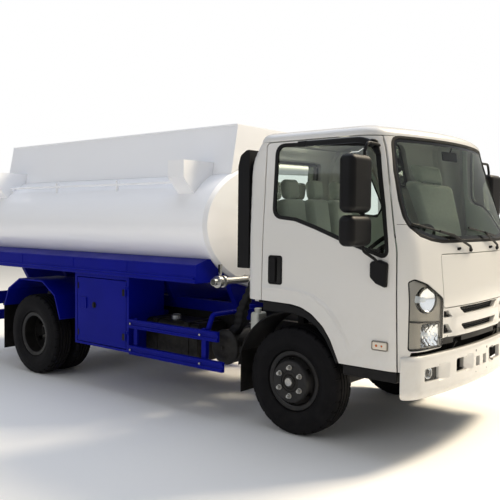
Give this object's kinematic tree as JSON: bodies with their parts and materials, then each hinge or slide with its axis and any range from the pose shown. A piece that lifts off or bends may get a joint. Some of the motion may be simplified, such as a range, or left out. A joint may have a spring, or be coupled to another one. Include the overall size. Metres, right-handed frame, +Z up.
{
  "type": "tanker truck",
  "caption": "Light two-axle tanker truck with a forward tilting cab, an elliptical tank with a walkway box on top, side skirts, tool cabinets and twin rear wheels.",
  "frame": {"origin": "ground level under the middle of the overall box", "axes": "+X to the front of the truck, +Y to its left, +Z up"},
  "size_m": [5.985, 2.722, 2.617],
  "materials": {
    "tank_paint": "gloss white enamel on sheet steel",
    "lid_alloy": "cast alloy, lightly brushed",
    "blue_paint": "gloss deep blue enamel",
    "valve_steel": "turned stainless steel",
    "cab_paint": "gloss white enamel, light road dust",
    "tinted_glass": "lightly green tinted safety glass",
    "black_plastic": "grained black moulding",
    "lamp_glass": "clear polycarbonate lens",
    "tail_lens": "red and amber moulded lens",
    "cab_inner_paint": "satin grey enamel",
    "seat_cloth": "woven grey seat cloth",
    "dash_plastic": "grained grey moulding",
    "bottle_plastic": "milky blow-moulded plastic",
    "chassis_black": "black chassis paint, dusty",
    "exhaust_steel": "heat-dulled grey steel",
    "cast_iron_black": "black painted casting",
    "flap_rubber": "black sheet rubber",
    "wheel_paint": "satin black wheel paint",
    "tyre": "black tread rubber"
  },
  "bodies": {
    "chassis": {"chassis_frame": "chassis_black", "axles": "cast_iron_black", "leaf_springs": "chassis_black", "driveline": "cast_iron_black", "exhaust": "exhaust_steel", "fuel_tank": "chassis_black", "battery_box": "black_plastic", "air_cleaner": "black_plastic", "coolant_bottle": "bottle_plastic", "tank_shell": "tank_paint", "top_box": "tank_paint", "shoulder_rails": "tank_paint", "side_skirts": "blue_paint", "tank_cradle": "blue_paint", "cabinets": "blue_paint", "side_guards": "blue_paint", "rear_mudguards": "blue_paint", "mudflaps": "flap_rubber", "front_bumper": "cab_paint", "fog_lamps": "lamp_glass", "tail_lamps": "tail_lens", "rear_bumper": "blue_paint", "ladder": "tank_paint", "outlets": "valve_steel"},
    "cab": {"cab_back": "cab_paint", "cab_roof": "cab_paint", "cab_front": "cab_paint", "cab_floor": "cab_inner_paint", "cab_glass": "tinted_glass", "headlamps": "lamp_glass", "grille": "black_plastic", "front_fenders": "black_plastic", "seats": "seat_cloth", "dashboard": "dash_plastic", "steering_wheel": "dash_plastic", "wipers": "black_plastic", "intake_duct": "black_plastic"},
    "cab_door_right": {"door_right": "cab_paint", "door_glass_right": "tinted_glass", "door_fittings_right": "black_plastic"},
    "cab_door_left": {"door_left": "cab_paint", "door_glass_left": "tinted_glass", "door_fittings_left": "black_plastic"},
    "service_lid": {"front_lid": "cab_paint"},
    "tool_door_right": {"cabinet_door_right": "blue_paint"},
    "tool_door_left": {"cabinet_door_left": "blue_paint"},
    "manhole_cover_front": {"manhole_lid_1": "lid_alloy"},
    "manhole_cover_rear": {"manhole_lid_2": "lid_alloy"},
    "steering_right": {"knuckle_right": "cast_iron_black"},
    "steering_left": {"knuckle_left": "cast_iron_black"},
    "road_wheel_front_right": {"front_wheel_right": "wheel_paint", "front_tyre_right": "tyre"},
    "road_wheel_front_left": {"front_wheel_left": "wheel_paint", "front_tyre_left": "tyre"},
    "twin_wheels_right": {"rear_wheels_right": "wheel_paint", "rear_tyres_right": "tyre"},
    "twin_wheels_left": {"rear_wheels_left": "wheel_paint", "rear_tyres_left": "tyre"}
  },
  "joints": [
    {"name": "cab_tilt", "type": "hinge", "parent": "chassis", "child": "cab", "pos_m": [2.9225, 0, 0.8], "axis": [0, 1, 0], "range_deg": [0, 45]},
    {"name": "door_right_swing", "type": "hinge", "parent": "cab", "child": "cab_door_right", "pos_m": [2.7815, -0.993, 1.015], "axis": [0, 0, 1], "range_deg": [0, 65]},
    {"name": "door_left_swing", "type": "hinge", "parent": "cab", "child": "cab_door_left", "pos_m": [2.7815, 0.993, 1.015], "axis": [0, 0, -1], "range_deg": [0, 65]},
    {"name": "service_lid_lift", "type": "hinge", "parent": "cab", "child": "service_lid", "pos_m": [2.947, 0, 1.451], "axis": [0, -1, 0], "range_deg": [0, 60]},
    {"name": "tool_door_right_swing", "type": "hinge", "parent": "chassis", "child": "tool_door_right", "pos_m": [0.0005, -1.056, 0.7755], "axis": [0, 0, 1], "range_deg": [0, 100]},
    {"name": "tool_door_left_swing", "type": "hinge", "parent": "chassis", "child": "tool_door_left", "pos_m": [0.0005, 1.056, 0.7755], "axis": [0, 0, -1], "range_deg": [0, 100]},
    {"name": "manhole_front_lift", "type": "hinge", "parent": "chassis", "child": "manhole_cover_front", "pos_m": [-0.1895, 0, 2.3423], "axis": [0, -1, 0], "range_deg": [0, 100]},
    {"name": "manhole_rear_lift", "type": "hinge", "parent": "chassis", "child": "manhole_cover_rear", "pos_m": [-2.0895, 0, 2.3423], "axis": [0, -1, 0], "range_deg": [0, 100]},
    {"name": "steer_right", "type": "hinge", "parent": "chassis", "child": "steering_right", "pos_m": [1.8525, -0.7, 0.428], "axis": [0, 0, 1], "range_deg": [-38, 38]},
    {"name": "steer_left", "type": "hinge", "parent": "chassis", "child": "steering_left", "pos_m": [1.8525, 0.7, 0.428], "axis": [0, 0, 1], "range_deg": [-38, 38]},
    {"name": "wheel_front_right", "type": "hinge", "parent": "steering_right", "child": "road_wheel_front_right", "pos_m": [1.8525, -0.828, 0.428], "axis": [0, 1, 0], "continuous": true},
    {"name": "wheel_front_left", "type": "hinge", "parent": "steering_left", "child": "road_wheel_front_left", "pos_m": [1.8525, 0.828, 0.428], "axis": [0, 1, 0], "continuous": true},
    {"name": "wheels_rear_right", "type": "hinge", "parent": "chassis", "child": "twin_wheels_right", "pos_m": [-1.5125, -0.834, 0.428], "axis": [0, 1, 0], "continuous": true},
    {"name": "wheels_rear_left", "type": "hinge", "parent": "chassis", "child": "twin_wheels_left", "pos_m": [-1.5125, 0.834, 0.428], "axis": [0, 1, 0], "continuous": true}
  ],
  "couplings": [
    {"joint": "steer_left", "follows": "steer_right", "ratio": 1}
  ]
}
